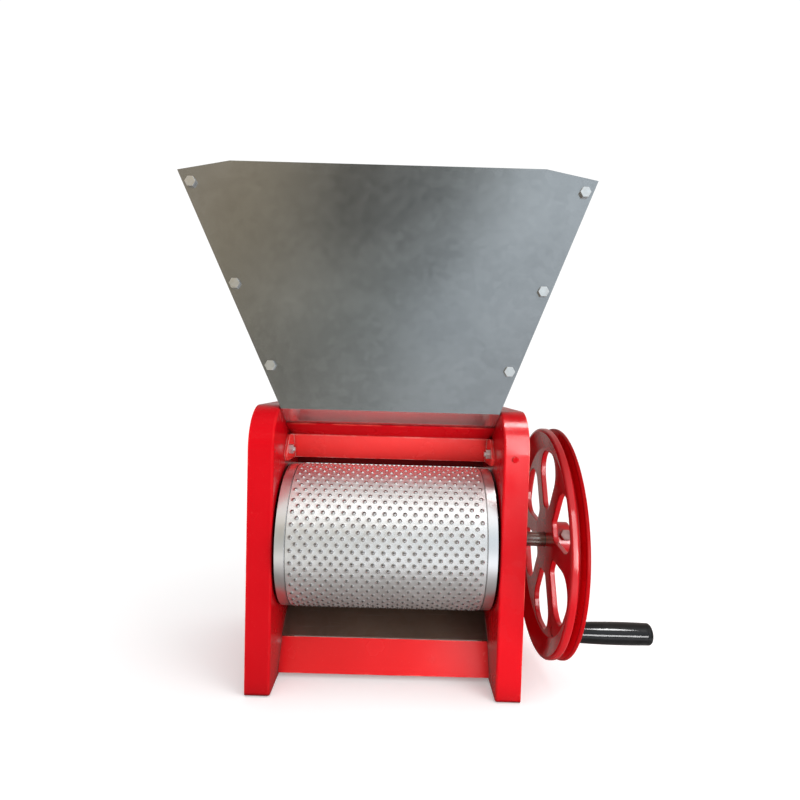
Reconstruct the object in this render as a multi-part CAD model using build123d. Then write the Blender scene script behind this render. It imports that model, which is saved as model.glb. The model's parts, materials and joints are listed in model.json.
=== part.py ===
from build123d import *
import math
import os

# Hand-cranked coffee pulper, in millimetres.
# X runs along the drum towards the crank, Y to the back, Z up.
# While it is modelled, X = 0 is the middle of the drum, Y = 0 its axis and Z = 0 the floor.
# At the end everything is moved so that the origin lies under the middle of the whole machine.

# Side plates: folded trays whose flanges point away from the drum
web_spacing = 231.0
frame_sheet = 3.0
flange_depth = 26.0
drum_proud = 7.0
rear_margin = 7.0
plate_over_hopper = 2.0
plate_corner = 43.0
foot_corner = 5.0
bend_radius = 2.5
bench_hole_radius = 4.5
bench_hole_inset = 14.5
bench_hole_front_inset = 33.0
bench_hole_rear_inset = 32.0

# Drum
axis_height = 151.5
drum_radius = 78.0
bump_height = 2.0
drum_end_gap = 3.0
ring_width = 9.8
ring_seam = 0.6
drum_sheet_thickness = 1.2
drum_fit_gap = 0.1
seat_length = 10.0
seat_wall = 6.0
end_disc_thickness = 6.0
drum_hub_radius = 18.0
drum_hub_length = 28.0
drum_screw_radius = 3.0
drum_screw_inset = 8.0
drum_screw_sink = 1.0

# Shaft and its bearings
shaft_radius = 8.0
shaft_chamfer = 1.0
shaft_fit = 0.02
running_clearance = 0.05
thrust_gap = 0.4
bush_radius = 12.0
bush_flange_radius = 17.0
bush_gap = 0.05
bush_web_gap = 0.15
housing_length = 20.0
housing_plate = 8.0
housing_radius = 21.0
housing_ear_radius = 10.0
housing_ear_reach = 31.0
bearing_screw_radius = 3.0
bearing_head_radius = 5.8
bearing_head_height = 2.6
shaft_left_inset = 1.5

# Hand wheel: a cast pulley with one V groove
wheel_radius = 126.0
wheel_inner_face = 55.4
inner_flange = 7.7
outer_flange = 4.2
groove_width = 6.7
groove_floor = 2.3
groove_depth = 10.0
rim_lip = 3.5
rim_thickness = 13.5
rim_flare = 8.5
disc_inset = 7.6
disc_thickness = 6.0
hub_radius = 20.0
hub_length = 20.0
spoke_count = 6
spoke_width = 20.5
window_angle = 27.3
window_hub_web = 17.0
window_rim_web = 4.0
window_hub_round = 8.0
window_rim_round = 22.0
wheel_screw_radius = 4.0
wheel_screw_place = 0.6
wheel_screw_stand = 1.0
wheel_screw_head_flats = 11.0
wheel_screw_head = 5.5
shaft_right_proud = 3.0

# Crank pin and grip
wheel_foot_angle = 270.0
crank_rim_gap = 5.3
pin_radius = 5.0
pin_fit = 0.1
pin_sink = 0.5
grip_gap = 0.4
grip_length = 90.5
grip_base_radius = 9.85
grip_belly_radius = 11.6
grip_belly_place = 0.52
grip_tip_radius = 11.3
pin_head_radius = 7.5
pin_head_thickness = 2.5
pin_head_inset = 14.5
pin_head_clearance = 0.4
cap_length = 6.0
cap_round = 3.6
cap_spigot_gap = 0.1
crank_nut_flats = 16.0
crank_nut_height = 8.0

# Upper front bar over the drum's crest, with a forward tab along each web
bar_gap = 8.0
bar_angle = 69.4
bar_height = 28.0
bar_lean = 13.0
bar_edge_round = 1.0
bar_tab_reach = 52.0
bar_tab_nose_rise = 10.0
bar_tab_top_reach = 21.0
bar_tab_top_rise = 2.5
bar_tab_foot_reach = 45.0
bar_tab_foot_rise = 1.5
bar_tab_round = 4.0
bar_bolt_back = 15.0
bar_bolt_rise = 4.0

# Leaning plates near the floor and the ridged chute sheet that rests on them
low_plate_foot = 6.0
front_plate_height = 32.0
front_plate_inset = 39.0
front_plate_lean = 19.0
front_tab_length = 33.0
rear_plate_height = 30.0
rear_plate_inset = 6.0
rear_plate_lean = 18.0
rear_tab_length = 32.0
low_tab_rise = 4.0
low_bolt_inset = 12.0
low_bolt_drop = 15.0
chute_sheet_thickness = 1.5
chute_ridge_gap = 5.2
chute_ridge_angle = -52.4
chute_seat_gap = 0.3
chute_side_gap = 0.3
chute_cheek_reach = 26.0
chute_cheek_drop = 13.0
chute_bolt_drop = 16.0

# Channel across the back that carries the adjusting screws
cross_bar_height = 64.0
cross_bar_drop = 31.5
cross_bar_lip = 10.0
cross_tab_length = 22.0
cross_bolt_inset = 8.0
cross_bolt_margin = 14.0

# Hopper of thin galvanised sheet
hopper_sheet = 1.5
hopper_side_gap = 0.5
hopper_front_inset = 29.0
hopper_rear_inset = 28.0
throat_rise = 34.0
hopper_crown_rise = 253.0
hopper_corner_drop = 10.5
hopper_corner_half = 217.0
hopper_corner_clip = 54.0
hopper_rack = -9.0
hopper_rear_lean = 17.4
hopper_flange = 18.0
front_lip_length = 44.0
rear_lip_length = 40.0
lip_overlap = 9.0
throat_sheet = 2.0
bar_throat_gap_y = 3.0
bar_throat_gap_z = 4.0
breast_throat_gap = 1.0
breast_throat_angle = 6.0
hopper_bolt_inset = 9.0
hopper_low_bolt_rise = 44.0
hopper_top_bolt_drop = 12.5
hopper_mid_bolt_share = 0.45
hopper_tab_front_inset = 52.0
hopper_tab_rear_inset = 22.0
hopper_tab_drop = 18.0
hopper_mount_inset = 17.0
hopper_mount_drop = 10.0

# Breast behind the drum, and its two captive adjusting screws
breast_gap = 4.0
breast_pad_thickness = 8.0
breast_plate_thickness = 3.0
breast_bond_gap = 0.1
breast_side_inset = 1.5
breast_top_angle = 42.0
breast_foot_angle = -38.0
breast_travel = 3.0
boss_radius = 10.0
boss_length = 17.0
boss_floor = 3.0
adjuster_x = 70.0
adjuster_rise = 2.0
adjuster_radius = 5.0
adjuster_engagement = 10.0
adjuster_fit = 0.1
adjuster_thread_gap = 0.3
adjuster_head_flats = 17.0
adjuster_head = 8.0
adjuster_play = 0.3
collar_radius = 9.0
collar_thickness = 5.0
collar_room = 1.7

# Small hex hardware
bolt_radius = 3.0
bolt_hole_gap = 0.25
bolt_head_flats = 10.0
bolt_head = 4.0
nut_flats = 10.0
nut_height = 5.0
nut_thread_gap = 0.1
bolt_tail = 2.0
cut_past = 1.0

# Painted-over rivet on the right side plate's front flange
rivet_inset = 11.5
rivet_below_corner = 3.5
rivet_head_radius = 3.2
rivet_head_height = 1.6
rivet_head_round = 1.2
rivet_shank_radius = 2.0
rivet_shank_gap = 0.1
rivet_tail_radius = 2.8
rivet_tail_height = 1.2

# Places along the drum that follow from the sizes above
inner_half = web_spacing / 2
outer_half = inner_half + frame_sheet
flange_half = inner_half + flange_depth
drum_half = inner_half - drum_end_gap
housing_end = outer_half + housing_length
wheel_x = inner_half + wheel_inner_face
rim_outer_x = wheel_x + inner_flange + groove_width + outer_flange
disc_x = wheel_x + disc_inset
disc_outer_x = disc_x + disc_thickness
hub_end_x = disc_outer_x + hub_length
grip_x = disc_outer_x + crank_nut_height + grip_gap
grip_end_x = grip_x + grip_length
pin_head_x = grip_end_x - pin_head_inset
hopper_foot_half = inner_half - hopper_side_gap

# The crank pin stands on the spoke nearest the bottom of the wheel
rim_inner_radius = wheel_radius - rim_thickness
rim_foot_radius = rim_inner_radius - rim_flare
crank_radius = rim_inner_radius - crank_nut_flats / math.sqrt(3) - crank_rim_gap
spoke_step = 360.0 / spoke_count
first_spoke_angle = window_angle + spoke_step / 2
crank_spoke = round((wheel_foot_angle - first_spoke_angle) / spoke_step)
crank_angle = first_spoke_angle + crank_spoke * spoke_step
crank_y = -crank_radius * math.cos(math.radians(crank_angle))
crank_z = axis_height + crank_radius * math.sin(math.radians(crank_angle))

# Breast, its screws and the rear cross bar, outwards from the drum
bump_radius = drum_radius + bump_height
pad_radius = bump_radius + breast_gap
holder_radius = pad_radius + breast_pad_thickness + breast_bond_gap
holder_outer_radius = holder_radius + breast_plate_thickness
boss_end_y = holder_outer_radius + boss_length
boss_hole_floor_y = holder_outer_radius + boss_floor
adjuster_tip_y = boss_end_y - adjuster_engagement
adjuster_z = axis_height + adjuster_rise
collar_y = boss_end_y + breast_travel + collar_room
cross_bar_front_y = collar_y + collar_thickness + adjuster_play
cross_bar_rear_y = cross_bar_front_y + frame_sheet
cross_bar_foot_z = adjuster_z - cross_bar_drop
cross_bar_top_z = cross_bar_foot_z + cross_bar_height
cross_tab_front_y = cross_bar_rear_y - cross_tab_length


def around_axis(radius, angle):
    """Point (y, z) at an angle above the rear horizontal, about the drum axis."""
    turn = math.radians(angle)
    return (radius * math.cos(turn), axis_height + radius * math.sin(turn))


# Upper bar over the drum, then the throat, hopper foot and plate top above it
bar_foot_y, bar_foot_z = around_axis(bump_radius + bar_gap, bar_angle)
bar_top_y = bar_foot_y - bar_lean
bar_top_z = bar_foot_z + bar_height
bar_nose = (bar_foot_y - bar_tab_reach, bar_foot_z + bar_tab_nose_rise)
hopper_foot_z = bar_top_z + throat_rise
frame_height = hopper_foot_z + plate_over_hopper
frame_front = bump_radius - drum_proud
frame_rear = cross_bar_rear_y + rear_margin
hopper_front_y = hopper_front_inset - frame_front
hopper_rear_y = frame_rear - hopper_rear_inset
hopper_tab_front_y = hopper_front_y + hopper_tab_front_inset
hopper_tab_rear_y = hopper_rear_y - hopper_tab_rear_inset
hopper_mount_ys = (hopper_tab_front_y + hopper_mount_inset, hopper_tab_rear_y - hopper_mount_inset)
mount_z = hopper_foot_z - hopper_mount_drop
hopper_corner_rise = hopper_crown_rise - hopper_corner_drop
hopper_crown_half = hopper_corner_half - hopper_corner_clip
top_bolt_rise = hopper_corner_rise - hopper_top_bolt_drop
mid_bolt_rise = hopper_low_bolt_rise + hopper_mid_bolt_share * (top_bolt_rise - hopper_low_bolt_rise)
hopper_bolt_rises = (hopper_low_bolt_rise, mid_bolt_rise, top_bolt_rise)
front_feed_end = (bar_top_y - bar_throat_gap_y, bar_top_z + bar_throat_gap_z)
rear_feed_end = around_axis(holder_outer_radius + breast_throat_gap, breast_top_angle + breast_throat_angle)
rivet_z = frame_height - plate_corner - rivet_below_corner

# Plates near the floor and the chute ridge close under the drum
front_plate_foot_y = front_plate_inset - frame_front
front_plate_top = (front_plate_foot_y + front_plate_lean, low_plate_foot + front_plate_height)
rear_plate_foot_y = frame_rear - rear_plate_inset
rear_plate_top = (rear_plate_foot_y - rear_plate_lean, low_plate_foot + rear_plate_height)
chute_ridge = around_axis(bump_radius + chute_ridge_gap, chute_ridge_angle)

# Bolts through the webs: where each is, and how thick the tab inside the web is
bar_bolt = (bar_nose[0] + bar_bolt_back, bar_nose[1] + bar_bolt_rise)
front_bolt_y = front_plate_top[0] + front_tab_length - low_bolt_inset
front_plate_bolt = (front_bolt_y, front_plate_top[1] - low_bolt_drop)
rear_bolt_y = rear_plate_top[0] - rear_tab_length + low_bolt_inset
rear_plate_bolt = (rear_bolt_y, rear_plate_top[1] - low_bolt_drop)
chute_bolt = (chute_ridge[0], chute_ridge[1] - chute_bolt_drop)
cross_bolt_y = cross_tab_front_y + cross_bolt_inset
cross_bar_bolts = (
    (cross_bolt_y, cross_bar_foot_z + cross_bolt_margin),
    (cross_bolt_y, cross_bar_top_z - cross_bolt_margin),
)
frame_bolt_places = (
    (bar_bolt, frame_sheet),
    (front_plate_bolt, frame_sheet),
    (rear_plate_bolt, frame_sheet),
    (chute_bolt, chute_sheet_thickness + chute_side_gap),
    (cross_bar_bolts[0], frame_sheet),
    (cross_bar_bolts[1], frame_sheet),
)

from_base = (Align.CENTER, Align.CENTER, Align.MIN)


def yz_prism(points, x_start, x_end):
    """Outline of (y, z) points, extruded along X."""
    outline = Plane.YZ.offset(x_start) * Polygon(*points, align=None)
    return extrude(outline, x_end - x_start, dir=(1, 0, 0))


def xz_prism(points, y_start, y_end):
    """Outline of (x, z) points, extruded along Y."""
    plane = Plane(origin=(0, y_start, 0), x_dir=(1, 0, 0), z_dir=(0, -1, 0))
    return extrude(plane * Polygon(*points, align=None), y_end - y_start, dir=(0, 1, 0))


def rod_x(radius, x_start, x_end, y, z):
    return Pos(x_start, y, z) * Rot(0, 90, 0) * Cylinder(radius, x_end - x_start, align=from_base)


def rod_y(radius, y_start, y_end, x, z):
    return Pos(x, y_start, z) * Rot(-90, 0, 0) * Cylinder(radius, y_end - y_start, align=from_base)


def drill(radius, thickness):
    """Cutter about local Z = 0 that goes through a thickness on either side of it."""
    return Cylinder(radius, 2 * (thickness + cut_past))


def hexagon(flats, height):
    return extrude(RegularPolygon(flats / 2, 6, major_radius=False), height, dir=(0, 0, 1))


def revolved_x(points, y, z):
    """Closed outline of (x, radius) points, turned about the X line through y, z."""
    outline = Plane.XZ * Polygon(*points, align=None)
    return Pos(0, y, z) * revolve(outline, Axis.X)


def on_side(part, side):
    """A piece modelled for the right side, mirrored when side is -1."""
    if side > 0:
        return part
    return mirror(part, about=Plane.YZ)


def sheet_outline(points, thickness):
    """Open (a, b) line with mitred corners, thickened to its left."""
    normals = []
    for (a0, b0), (a1, b1) in zip(points, points[1:]):
        run = math.hypot(a1 - a0, b1 - b0)
        normals.append((-(b1 - b0) / run, (a1 - a0) / run))
    offset_side = []
    for index, (a, b) in enumerate(points):
        before = normals[max(index - 1, 0)]
        after = normals[min(index, len(normals) - 1)]
        share = thickness / (1 + before[0] * after[0] + before[1] * after[1])
        offset_side.append((a + share * (before[0] + after[0]), b + share * (before[1] + after[1])))
    return list(points) + offset_side[::-1]


def hex_bolt(length):
    """Head above local Z = 0, shank below it."""
    shank = Pos(0, 0, -length) * Cylinder(bolt_radius, length, align=from_base)
    return hexagon(bolt_head_flats, bolt_head) + shank


def hex_nut():
    """Nut from local Z = 0 downwards."""
    body = Pos(0, 0, -nut_height) * hexagon(nut_flats, nut_height)
    return body - drill(bolt_radius + nut_thread_gap, nut_height)


def across_web(part, side, y, z, x):
    """Places a piece whose local Z points outwards through a web."""
    return Plane(origin=(side * x, y, z), x_dir=(0, 1, 0), z_dir=(side, 0, 0)) * part


# Frame

def plate_outline():
    """Rounded outline of a side plate, in Y and Z."""
    depth = frame_front + frame_rear
    centre = Pos((frame_rear - frame_front) / 2, frame_height / 2)
    outline = centre * Rectangle(depth, frame_height)
    outline = fillet(outline.vertices().group_by(Axis.Y)[-1], plate_corner)
    return fillet(outline.vertices().group_by(Axis.Y)[0], foot_corner)


def side_plate(side):
    outline = plate_outline()
    tray = extrude(Plane.YZ.offset(inner_half) * outline, flange_depth, dir=(1, 0, 0))
    web_face = tray.faces().sort_by(Axis.X)[0]
    tray = fillet(web_face.outer_wire().edges(), bend_radius)
    hollow = Plane.YZ.offset(outer_half) * offset(outline, -frame_sheet)
    tray -= extrude(hollow, flange_depth, dir=(1, 0, 0))
    hole_radius = bolt_radius + bolt_hole_gap
    for (y, z), tab in frame_bolt_places:
        tray -= rod_x(hole_radius, inner_half - tab, outer_half + tab, y, z)
    for y in hopper_mount_ys:
        tray -= rod_x(hole_radius, inner_half - frame_sheet, outer_half + frame_sheet, y, mount_z)
    tray -= rod_x(bush_radius + bush_web_gap, 0, flange_half, 0, axis_height)
    for end in (-1, 1):
        tray -= Pos(inner_half, end * housing_ear_reach, axis_height) * bearing_screw(bolt_hole_gap)
    for y in (bench_hole_front_inset - frame_front, frame_rear - bench_hole_rear_inset):
        tray -= Pos(inner_half + bench_hole_inset, y, 0) * drill(bench_hole_radius, frame_sheet)
    if side > 0:
        hole_radius = rivet_shank_radius + rivet_shank_gap
        tray -= rod_y(hole_radius, -frame_front - cut_past, 0, inner_half + rivet_inset, rivet_z)
    return on_side(tray, side)


def post_rivet():
    x = inner_half + rivet_inset
    head = rod_y(rivet_head_radius, -frame_front - rivet_head_height, -frame_front, x, rivet_z)
    head = fillet(head.edges().sort_by(Axis.Y)[0], rivet_head_round)
    tail_y = -frame_front + frame_sheet
    shank = rod_y(rivet_shank_radius, -frame_front, tail_y, x, rivet_z)
    tail = rod_y(rivet_tail_radius, tail_y, tail_y + rivet_tail_height, x, rivet_z)
    return head + shank + tail


def upper_front_bar():
    line = ((bar_top_y, bar_top_z), (bar_foot_y, bar_foot_z))
    bar = yz_prism(sheet_outline(line, frame_sheet), -inner_half, inner_half)
    front_top = bar.edges().filter_by(Axis.X).sort_by(Axis.Y)[0]
    bar = fillet(front_top, bar_edge_round)
    tab_points = (
        (bar_top_y, bar_top_z),
        (bar_top_y - bar_tab_top_reach, bar_top_z + bar_tab_top_rise),
        bar_nose,
        (bar_foot_y - bar_tab_foot_reach, bar_foot_z + bar_tab_foot_rise),
        (bar_foot_y, bar_foot_z),
    )
    tab = yz_prism(tab_points, inner_half - frame_sheet, inner_half)
    nose_edges = tab.edges().filter_by(Axis.X).sort_by(Axis.Y)[0:3]
    tab = fillet(nose_edges, bar_tab_round)
    tab -= rod_x(bolt_radius + bolt_hole_gap, 0, flange_half, *bar_bolt)
    return bar + tab + on_side(tab, -1)


def leaning_plate(top, foot_y, thickness, tab_length, bolt):
    """Plate across the frame, near the floor, with a bolted tab along each web."""
    foot = (foot_y, low_plate_foot)
    plate = yz_prism(sheet_outline((top, foot), thickness), -inner_half, inner_half)
    tab_y = top[0] + tab_length
    tab_points = (top, (tab_y, top[1]), (tab_y, low_plate_foot + low_tab_rise), foot)
    tab = yz_prism(tab_points, inner_half - frame_sheet, inner_half)
    tab -= rod_x(bolt_radius + bolt_hole_gap, 0, flange_half, *bolt)
    return plate + tab + on_side(tab, -1)


def lower_front_plate():
    return leaning_plate(front_plate_top, front_plate_foot_y, frame_sheet, front_tab_length, front_plate_bolt)


def lower_rear_plate():
    return leaning_plate(rear_plate_top, rear_plate_foot_y, -frame_sheet, -rear_tab_length, rear_plate_bolt)


def toward(start, end, distance):
    """Point at a distance from start on the way to end."""
    share = distance / math.dist(start, end)
    return (start[0] + share * (end[0] - start[0]), start[1] + share * (end[1] - start[1]))


def chute_sheet():
    """Ridged sheet under the drum: skins run off the front, beans off the back."""
    front_end = (front_plate_top[0], front_plate_top[1] + chute_seat_gap)
    rear_end = (rear_plate_top[0], rear_plate_top[1] + chute_seat_gap)
    half = inner_half - chute_side_gap
    line = (front_end, chute_ridge, rear_end)
    sheet = yz_prism(sheet_outline(line, chute_sheet_thickness), -half, half)
    cheek_front = toward(chute_ridge, front_end, chute_cheek_reach)
    cheek_rear = toward(chute_ridge, rear_end, chute_cheek_reach)
    cheek_foot = (chute_ridge[0], min(cheek_front[1], cheek_rear[1]) - chute_cheek_drop)
    cheek = yz_prism((chute_ridge, cheek_front, cheek_foot, cheek_rear), half - chute_sheet_thickness, half)
    cheek -= rod_x(bolt_radius + bolt_hole_gap, 0, flange_half, *chute_bolt)
    return sheet + cheek + on_side(cheek, -1)


def rear_cross_bar():
    """Channel across the back with a hole for each adjusting screw."""
    lip_y = cross_bar_rear_y + cross_bar_lip
    line = (
        (lip_y, cross_bar_foot_z),
        (cross_bar_front_y, cross_bar_foot_z),
        (cross_bar_front_y, cross_bar_top_z),
        (lip_y, cross_bar_top_z),
    )
    bar = yz_prism(sheet_outline(line, -frame_sheet), -inner_half, inner_half)
    tab_points = (
        (cross_tab_front_y, cross_bar_foot_z),
        (cross_bar_front_y, cross_bar_foot_z),
        (cross_bar_front_y, cross_bar_top_z),
        (cross_tab_front_y, cross_bar_top_z),
    )
    tab = yz_prism(tab_points, inner_half - frame_sheet, inner_half)
    for bolt in cross_bar_bolts:
        tab -= rod_x(bolt_radius + bolt_hole_gap, 0, flange_half, *bolt)
    bar += tab + on_side(tab, -1)
    for side in (-1, 1):
        bar -= rod_y(adjuster_radius + adjuster_fit, 0, frame_rear, side * adjuster_x, adjuster_z)
    return bar


def frame_bolts():
    bolt = hex_bolt(2 * frame_sheet + nut_height + bolt_tail)
    bolts = []
    for (y, z), tab in frame_bolt_places:
        bolts += [across_web(bolt, side, y, z, outer_half) for side in (-1, 1)]
    return bolts


def frame_nuts():
    nut = hex_nut()
    nuts = []
    for (y, z), tab in frame_bolt_places:
        nuts += [across_web(nut, side, y, z, inner_half - tab) for side in (-1, 1)]
    return nuts


# Bearings and shaft

def bearing_housing(side):
    turn = math.acos((housing_radius - housing_ear_radius) / housing_ear_reach)
    shoulder = (housing_radius * math.cos(turn), housing_radius * math.sin(turn))
    ear_x = housing_ear_reach + housing_ear_radius * math.cos(turn)
    ear_y = housing_ear_radius * math.sin(turn)
    right_side = ((ear_x, -ear_y), (ear_x, ear_y), shoulder)
    left_side = ((-shoulder[0], shoulder[1]), (-ear_x, ear_y), (-ear_x, -ear_y))
    foot_side = ((-shoulder[0], -shoulder[1]), (shoulder[0], -shoulder[1]))
    plate = Polygon(*right_side, *left_side, *foot_side, align=None) + Circle(housing_radius)
    for end in (-1, 1):
        plate += Pos(end * housing_ear_reach, 0) * Circle(housing_ear_radius)
    plane = Plane(origin=(outer_half, 0, axis_height), x_dir=(0, 1, 0), z_dir=(1, 0, 0))
    body = extrude(plane * plate, housing_plate, dir=(1, 0, 0))
    body += rod_x(housing_radius, outer_half, housing_end, 0, axis_height)
    body -= rod_x(bush_radius + bush_gap, 0, 2 * housing_end, 0, axis_height)
    for end in (-1, 1):
        y = end * housing_ear_reach
        body -= rod_x(bearing_screw_radius + bolt_hole_gap, 0, flange_half, y, axis_height)
    return on_side(body, side)


def bearing_bush(side):
    """Bush whose inner flange takes the drum's end thrust."""
    flange_x = drum_half + thrust_gap
    bush = rod_x(bush_flange_radius, flange_x, inner_half, 0, axis_height)
    bush += rod_x(bush_radius, flange_x, housing_end, 0, axis_height)
    bush -= rod_x(shaft_radius + running_clearance, 0, 2 * housing_end, 0, axis_height)
    return on_side(bush, side)


def bearing_screw(grow):
    """Countersunk screw with its flat head at X = 0, pointing along +X; grow widens it to make its hole."""
    head = Cone(bearing_head_radius + grow, bearing_screw_radius + grow, bearing_head_height, align=from_base)
    length = frame_sheet + housing_plate + nut_height + bolt_tail
    shank = Cylinder(bearing_screw_radius + grow, length, align=from_base)
    return Rot(0, 90, 0) * (head + shank)


def bearing_screws():
    screws = []
    for end in (-1, 1):
        screw = Pos(inner_half, end * housing_ear_reach, axis_height) * bearing_screw(0)
        screws += [on_side(screw, side) for side in (-1, 1)]
    return screws


def bearing_nuts():
    nut_x = outer_half + housing_plate + nut_height
    places = [(side, end) for side in (-1, 1) for end in (-1, 1)]
    return [across_web(hex_nut(), side, end * housing_ear_reach, axis_height, nut_x) for side, end in places]


def drum_shaft():
    shaft = rod_x(shaft_radius, shaft_left_inset - housing_end, hub_end_x + shaft_right_proud, 0, axis_height)
    ends = shaft.edges().filter_by(GeomType.CIRCLE)
    return chamfer(ends, shaft_chamfer)


# Drum

def drum_end(side):
    """End disc with its bright ring, a seat for the drum sheet and a hub."""
    ring_x = drum_half - ring_width
    seat_x = ring_x - seat_length
    seat_radius = drum_radius - drum_sheet_thickness - drum_fit_gap
    disc_inner_x = drum_half - end_disc_thickness
    hub_x = drum_half - drum_hub_length
    bore = shaft_radius + shaft_fit
    outline = (
        (drum_half, bore),
        (drum_half, drum_radius),
        (ring_x, drum_radius),
        (ring_x, seat_radius),
        (seat_x, seat_radius),
        (seat_x, seat_radius - seat_wall),
        (disc_inner_x, seat_radius - seat_wall),
        (disc_inner_x, drum_hub_radius),
        (hub_x, drum_hub_radius),
        (hub_x, bore),
    )
    disc = revolved_x(outline, 0, axis_height)
    hole = Cylinder(drum_screw_radius + nut_thread_gap, 2 * drum_hub_radius, align=from_base)
    disc -= Pos(hub_x + drum_screw_inset, 0, axis_height) * hole
    return on_side(disc, side)


def drum_sheet():
    half = drum_half - ring_width - ring_seam
    tube = rod_x(drum_radius, -half, half, 0, axis_height)
    return tube - rod_x(drum_radius - drum_sheet_thickness, -half, half, 0, axis_height)


def drum_set_screws():
    x = drum_half - drum_hub_length + drum_screw_inset
    length = drum_hub_radius - shaft_radius - running_clearance - drum_screw_sink
    screw = Cylinder(drum_screw_radius, length, align=from_base)
    return [Pos(side * x, 0, axis_height + shaft_radius + running_clearance) * screw for side in (-1, 1)]


# Hand wheel, crank and grip

def window():
    """Opening between two spokes, along local X: narrow at the hub, wide and round at the rim."""
    turn = math.radians(spoke_step / 2)
    corners = []
    for reach in (hub_radius + window_hub_web, rim_foot_radius - window_rim_web):
        along = (reach - spoke_width / 2 * math.sin(turn)) / math.cos(turn)
        corners.append((reach, along * math.sin(turn) - spoke_width / 2 * math.cos(turn)))
    (hub_x, hub_half), (rim_x, rim_half) = corners
    outline = ((hub_x, -hub_half), (rim_x, -rim_half), (rim_x, rim_half), (hub_x, hub_half))
    sketch = make_face(Polyline(*outline, close=True))
    sketch = fillet(sketch.vertices().group_by(Axis.X)[0], window_hub_round)
    return fillet(sketch.vertices().group_by(Axis.X)[-1], window_rim_round)


def wheel_direction(angle):
    """Unit (y, z) at an angle above the front horizontal."""
    return (-math.cos(math.radians(angle)), math.sin(math.radians(angle)))


def hand_wheel():
    groove_x = wheel_x + inner_flange
    groove_end_x = groove_x + groove_width
    groove_mid = groove_x + groove_width / 2
    floor_radius = wheel_radius - groove_depth
    outline = (
        (wheel_x, wheel_radius - rim_lip),
        (wheel_x, wheel_radius),
        (groove_x, wheel_radius),
        (groove_mid - groove_floor / 2, floor_radius),
        (groove_mid + groove_floor / 2, floor_radius),
        (groove_end_x, wheel_radius),
        (rim_outer_x, wheel_radius),
        (rim_outer_x, rim_inner_radius),
        (disc_outer_x, rim_inner_radius),
        (disc_outer_x, hub_radius),
        (hub_end_x, hub_radius),
        (hub_end_x, shaft_radius + shaft_fit),
        (disc_x, shaft_radius + shaft_fit),
        (disc_x, rim_foot_radius),
    )
    wheel = revolved_x(outline, 0, axis_height)
    for index in range(spoke_count):
        y, z = wheel_direction(window_angle + index * spoke_step)
        plane = Plane(origin=(disc_x - cut_past, 0, axis_height), x_dir=(0, y, z), z_dir=(1, 0, 0))
        wheel -= extrude(plane * window(), disc_thickness + 2 * cut_past, dir=(1, 0, 0))
    wheel -= rod_x(pin_radius + pin_fit, 0, grip_end_x, crank_y, crank_z)
    screw_hole = Cylinder(wheel_screw_radius + nut_thread_gap, 2 * hub_radius, align=from_base)
    return wheel - wheel_screw_plane() * screw_hole


def wheel_screw_plane():
    y, z = wheel_direction(window_angle)
    x = disc_outer_x + wheel_screw_place * hub_length
    return Plane(origin=(x, 0, axis_height), x_dir=(1, 0, 0), z_dir=(0, y, z))


def wheel_set_screw():
    start = shaft_radius + running_clearance
    head_start = hub_radius + wheel_screw_stand
    shank = Pos(0, 0, start) * Cylinder(wheel_screw_radius, head_start - start, align=from_base)
    head = Pos(0, 0, head_start) * hexagon(wheel_screw_head_flats, wheel_screw_head)
    return wheel_screw_plane() * (shank + head)


def crank_pin():
    """Long bolt: head inside the grip, thread through the wheel."""
    pin = rod_x(pin_radius, disc_x + pin_sink, pin_head_x, crank_y, crank_z)
    return pin + rod_x(pin_head_radius, pin_head_x, pin_head_x + pin_head_thickness, crank_y, crank_z)


def crank_nut():
    """Lock nut between the wheel and the grip."""
    nut = hexagon(crank_nut_flats, crank_nut_height) - drill(pin_radius + nut_thread_gap, crank_nut_height)
    return Pos(disc_outer_x, crank_y, crank_z) * Rot(0, 90, 0) * nut


def handle_grip():
    """Barrel grip with a through bore and a pocket for the pin's head."""
    body_end = grip_end_x - cap_length
    belly = (grip_x + grip_belly_place * grip_length, grip_belly_radius)
    side = Spline((grip_x, grip_base_radius), belly, (body_end, grip_tip_radius))
    edge = side + Line((body_end, grip_tip_radius), (body_end, 0))
    edge += Line((body_end, 0), (grip_x, 0))
    edge += Line((grip_x, 0), (grip_x, grip_base_radius))
    grip = Pos(0, crank_y, crank_z) * revolve(make_face(Plane.XZ * edge), Axis.X)
    grip -= rod_x(pin_radius + pin_fit, 0, grip_end_x, crank_y, crank_z)
    pocket_radius = pin_head_radius + pin_head_clearance
    return grip - rod_x(pocket_radius, pin_head_x - pin_head_clearance, grip_end_x, crank_y, crank_z)


def grip_cap():
    """Round end with a spigot that fills the grip's pocket behind the pin's head."""
    base = grip_end_x - cap_length
    cap = rod_x(grip_tip_radius, base, grip_end_x, crank_y, crank_z)
    cap = fillet(cap.edges().sort_by(Axis.X)[-1], cap_round)
    spigot_radius = pin_head_radius + pin_head_clearance - cap_spigot_gap
    spigot_x = pin_head_x + pin_head_thickness + pin_head_clearance
    return cap + rod_x(spigot_radius, spigot_x, base, crank_y, crank_z)


# Hopper and throat

def edge_x(side, rise):
    """Slanted outer edge of the hopper at a height above its foot."""
    corner = side * hopper_corner_half + hopper_rack
    foot = side * hopper_foot_half
    return foot + (corner - foot) * rise / hopper_corner_rise


def wall_width(side):
    """Thickness of a slanted side wall, measured along X."""
    run = edge_x(side, hopper_corner_rise) - side * hopper_foot_half
    return hopper_sheet * math.hypot(run, hopper_corner_rise) / hopper_corner_rise


def rear_panel_y(rise):
    """Inner face of the rear panel at a height above the hopper's foot."""
    return hopper_rear_y + rise * math.tan(math.radians(hopper_rear_lean))


def feed_line(front):
    """Feed slope from the hopper's foot towards the drum, as two (y, z) points."""
    if front:
        return ((hopper_front_y, hopper_foot_z), front_feed_end)
    return ((hopper_rear_y, hopper_foot_z), rear_feed_end)


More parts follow.
